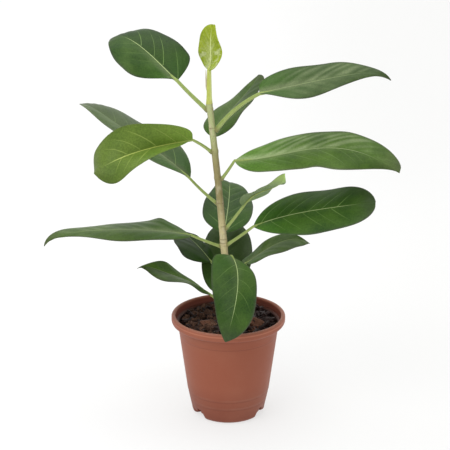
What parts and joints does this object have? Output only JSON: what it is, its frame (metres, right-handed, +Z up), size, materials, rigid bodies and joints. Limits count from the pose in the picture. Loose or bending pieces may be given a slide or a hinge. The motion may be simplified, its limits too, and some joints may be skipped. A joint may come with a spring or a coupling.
{
  "type": "potted plant",
  "caption": "Young broad-leaved ficus with one slender leaning stem and long glossy leaves, in a round rolled-rim nursery pot",
  "frame": {"origin": "the middle of the pot's flat underside", "axes": "+Z up from the underside through the pot's axis; -Y towards the viewer of the picture; +X to the viewer's right"},
  "size_m": [0.5038, 0.3317, 0.5849],
  "materials": {
    "terracotta_plastic": "matte moulded plastic, terracotta brown",
    "potting_mix": "dark crumbly potting mix",
    "bark": "thin tan bark, greener towards the top",
    "green_leaf": "semi-gloss dark green leaf with a pale midrib",
    "bright_leaf": "semi-gloss brighter green leaf with a pale midrib",
    "young_leaf": "glossy yellow-green young leaf"
  },
  "bodies": {
    "root": {"pot": "terracotta_plastic", "potting_mix": "potting_mix", "stem": "bark", "leaf_tip_young": "young_leaf", "leaf_upper_left": "green_leaf", "leaf_top_right": "green_leaf", "leaf_upper_back": "green_leaf", "leaf_left_front": "bright_leaf", "leaf_mid_right": "green_leaf", "leaf_left_back": "green_leaf", "leaf_small_right": "green_leaf", "leaf_centre_back": "green_leaf", "leaf_right_long": "green_leaf", "leaf_left_long": "green_leaf", "leaf_front": "green_leaf", "leaf_low_left_back": "green_leaf", "leaf_low_right": "green_leaf", "leaf_low_back": "green_leaf", "leaf_low_left": "green_leaf"}
  },
  "joints": []
}
